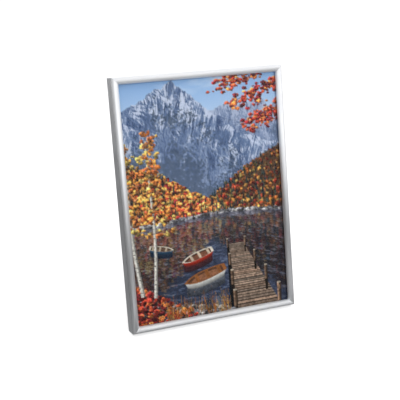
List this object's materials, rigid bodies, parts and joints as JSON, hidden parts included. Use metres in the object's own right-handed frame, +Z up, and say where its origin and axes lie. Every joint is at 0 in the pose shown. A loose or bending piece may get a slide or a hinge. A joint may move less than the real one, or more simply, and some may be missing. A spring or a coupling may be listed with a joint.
{
  "type": "picture frame",
  "caption": "Slim silver picture frame with a half-round mitred moulding, glazed front and turn-clip back, leaning back on a hinged easel strut.",
  "frame": {"origin": "middle of the footprint, on the surface that the frame stands on", "axes": "+Z up, -Y towards the viewer of the picture, +X to the right of the picture"},
  "size_m": [0.215, 0.0876, 0.2981],
  "materials": {
    "satin_aluminium": "satin anodised with fine lines along each rail",
    "key_casting": "matt as cast",
    "glass": "clear polished float glass",
    "photo_paper": "glossy colour print of a made-up autumn lake landscape",
    "white_card": "matt white card",
    "hardboard": "brown pressed hardboard",
    "strut_board": "brown pressed hardboard with cut edges",
    "zinc_steel": "zinc-plated pressing",
    "hinge_steel": "zinc-plated pressing",
    "hanger_steel": "zinc-plated pressing",
    "rivet_steel": "bright plated"
  },
  "bodies": {
    "frame": {"top_rail": "satin_aluminium", "bottom_rail": "satin_aluminium", "left_rail": "satin_aluminium", "right_rail": "satin_aluminium", "top_left_key": "key_casting", "top_right_key": "key_casting", "bottom_left_key": "key_casting", "bottom_right_key": "key_casting", "glass": "glass", "photo_print": "photo_paper", "backing_card": "white_card", "back_panel": "hardboard", "clip_rivets": "rivet_steel", "panel_leaf": "hinge_steel", "hinge_pin": "rivet_steel", "panel_leaf_rivets": "rivet_steel", "portrait_hanger": "hanger_steel", "landscape_hanger": "hanger_steel", "hanger_rivets": "rivet_steel"},
    "easel_strut": {"strut": "strut_board", "strut_leaf": "hinge_steel", "strut_leaf_rivets": "rivet_steel"},
    "left_upper_clip_body": {"left_upper_clip": "zinc_steel"},
    "left_lower_clip_body": {"left_lower_clip": "zinc_steel"},
    "right_upper_clip_body": {"right_upper_clip": "zinc_steel"},
    "right_lower_clip_body": {"right_lower_clip": "zinc_steel"},
    "top_left_clip_body": {"top_left_clip": "zinc_steel"},
    "top_right_clip_body": {"top_right_clip": "zinc_steel"},
    "bottom_left_clip_body": {"bottom_left_clip": "zinc_steel"},
    "bottom_right_clip_body": {"bottom_right_clip": "zinc_steel"}
  },
  "joints": [
    {"name": "strut_hinge", "type": "hinge", "parent": "frame", "child": "easel_strut", "pos_m": [0, 0.01847, 0.21791], "axis": [1, 0, 0], "range_deg": [-18, 0]},
    {"name": "left_upper_clip_turn", "type": "hinge", "parent": "frame", "child": "left_upper_clip_body", "pos_m": [-0.0931, 0.01803, 0.22266], "axis": [0, 0.9744, -0.225], "continuous": true},
    {"name": "left_lower_clip_turn", "type": "hinge", "parent": "frame", "child": "left_lower_clip_body", "pos_m": [-0.0931, -0.01594, 0.07553], "axis": [0, 0.9744, -0.225], "continuous": true},
    {"name": "right_upper_clip_turn", "type": "hinge", "parent": "frame", "child": "right_upper_clip_body", "pos_m": [0.0931, 0.01803, 0.22266], "axis": [0, 0.9744, -0.225], "continuous": true},
    {"name": "right_lower_clip_turn", "type": "hinge", "parent": "frame", "child": "right_lower_clip_body", "pos_m": [0.0931, -0.01594, 0.07553], "axis": [0, 0.9744, -0.225], "continuous": true},
    {"name": "top_left_clip_turn", "type": "hinge", "parent": "frame", "child": "top_left_clip_body", "pos_m": [-0.0645, 0.03178, 0.2822], "axis": [0, 0.9744, -0.225], "continuous": true},
    {"name": "top_right_clip_turn", "type": "hinge", "parent": "frame", "child": "top_right_clip_body", "pos_m": [0.0645, 0.03178, 0.2822], "axis": [0, 0.9744, -0.225], "continuous": true},
    {"name": "bottom_left_clip_turn", "type": "hinge", "parent": "frame", "child": "bottom_left_clip_body", "pos_m": [-0.0645, -0.02968, 0.016], "axis": [0, 0.9744, -0.225], "continuous": true},
    {"name": "bottom_right_clip_turn", "type": "hinge", "parent": "frame", "child": "bottom_right_clip_body", "pos_m": [0.0645, -0.02968, 0.016], "axis": [0, 0.9744, -0.225], "continuous": true}
  ]
}
